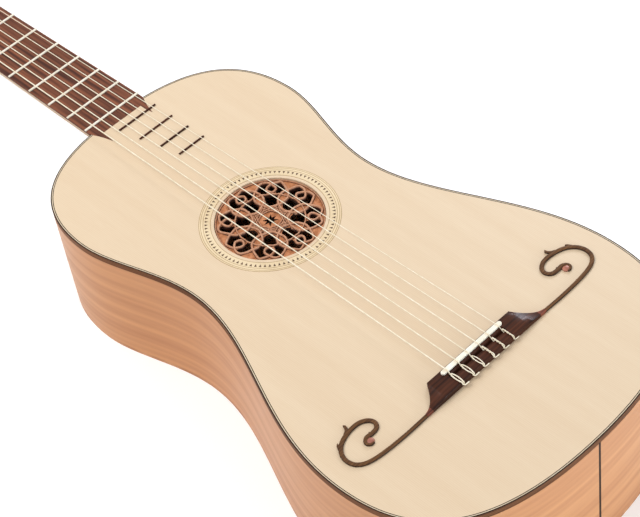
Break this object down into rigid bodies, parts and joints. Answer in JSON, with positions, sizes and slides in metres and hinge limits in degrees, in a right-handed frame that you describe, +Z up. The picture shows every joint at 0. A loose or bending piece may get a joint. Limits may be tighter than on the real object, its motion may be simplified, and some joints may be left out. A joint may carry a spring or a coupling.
{
  "type": "baroque guitar",
  "caption": "Baroque guitar with a waisted flat-backed body, carved rose, moustache bridge scrolls, single strings and rear friction pegs that turn.",
  "frame": {"origin": "middle of the flat back's outer face, straight below the middle of the saddle, with the guitar lying on its back", "axes": "+Y along the instrument from tail to head, +X towards the treble side, +Z up from the back towards the strings"},
  "size_m": [0.2702, 0.9359, 0.1148],
  "materials": {
    "spruce": "satin, fine straight grain",
    "cherry": "satin varnish over lightly flamed cherry",
    "maple": "satin",
    "inner_softwood": "bare",
    "brown_binding": "satin",
    "dark_purfling": "satin",
    "rosewood": "oiled, streaked",
    "dark_bridge_wood": "satin",
    "scroll_wood": "satin",
    "carved_rose_wood": "carved, matt",
    "ring_inlay": "inlaid, satin",
    "bone": "polished bone, off-white",
    "string": "smooth white string",
    "peg_wood": "polished, dark"
  },
  "bodies": {
    "guitar": {"soundboard": "spruce", "soundboard_bar_upper": "spruce", "soundboard_bar_lower": "spruce", "back_bar_upper": "spruce", "back_bar_lower": "spruce", "back": "cherry", "rib_bass": "cherry", "rib_treble": "cherry", "neck": "maple", "head": "maple", "neck_block": "inner_softwood", "tail_block": "inner_softwood", "lining_top": "inner_softwood", "lining_back": "inner_softwood", "binding_top": "brown_binding", "purfling_top": "dark_purfling", "end_graft": "dark_purfling", "fretboard": "rosewood", "heel_cap": "rosewood", "head_veneer": "rosewood", "bridge": "dark_bridge_wood", "body_fret_11": "dark_bridge_wood", "body_fret_12": "dark_bridge_wood", "body_fret_13": "dark_bridge_wood", "body_fret_14": "dark_bridge_wood", "scroll_bass": "scroll_wood", "scroll_treble": "scroll_wood", "rose": "carved_rose_wood", "rose_ring": "ring_inlay", "saddle": "bone", "nut": "bone", "fret_01": "bone", "fret_02": "bone", "fret_03": "bone", "fret_04": "bone", "fret_05": "bone", "fret_06": "bone", "fret_07": "bone", "fret_08": "bone", "fret_09": "bone", "fret_10": "bone", "string_1": "string", "string_2": "string", "string_3": "string", "string_4": "string", "string_5": "string", "string_6": "string"},
    "peg_1": {"peg_1": "peg_wood", "winding_1": "string"},
    "peg_2": {"peg_2": "peg_wood", "winding_2": "string"},
    "peg_3": {"peg_3": "peg_wood", "winding_3": "string"},
    "peg_4": {"peg_4": "peg_wood", "winding_4": "string"},
    "peg_5": {"peg_5": "peg_wood", "winding_5": "string"},
    "peg_6": {"peg_6": "peg_wood", "winding_6": "string"}
  },
  "joints": [
    {"name": "peg_1_turn", "type": "hinge", "parent": "guitar", "child": "peg_1", "pos_m": [-0.02, 0.69462, 0.0821], "axis": [0, 0.16, 0.9871], "continuous": true},
    {"name": "peg_2_turn", "type": "hinge", "parent": "guitar", "child": "peg_2", "pos_m": [-0.018, 0.73904, 0.0749], "axis": [0, 0.16, 0.9871], "continuous": true},
    {"name": "peg_3_turn", "type": "hinge", "parent": "guitar", "child": "peg_3", "pos_m": [-0.014, 0.78346, 0.0677], "axis": [0, 0.16, 0.9871], "continuous": true},
    {"name": "peg_4_turn", "type": "hinge", "parent": "guitar", "child": "peg_4", "pos_m": [0.014, 0.78346, 0.0677], "axis": [0, 0.16, 0.9871], "continuous": true},
    {"name": "peg_5_turn", "type": "hinge", "parent": "guitar", "child": "peg_5", "pos_m": [0.018, 0.73904, 0.0749], "axis": [0, 0.16, 0.9871], "continuous": true},
    {"name": "peg_6_turn", "type": "hinge", "parent": "guitar", "child": "peg_6", "pos_m": [0.02, 0.69462, 0.0821], "axis": [0, 0.16, 0.9871], "continuous": true}
  ]
}
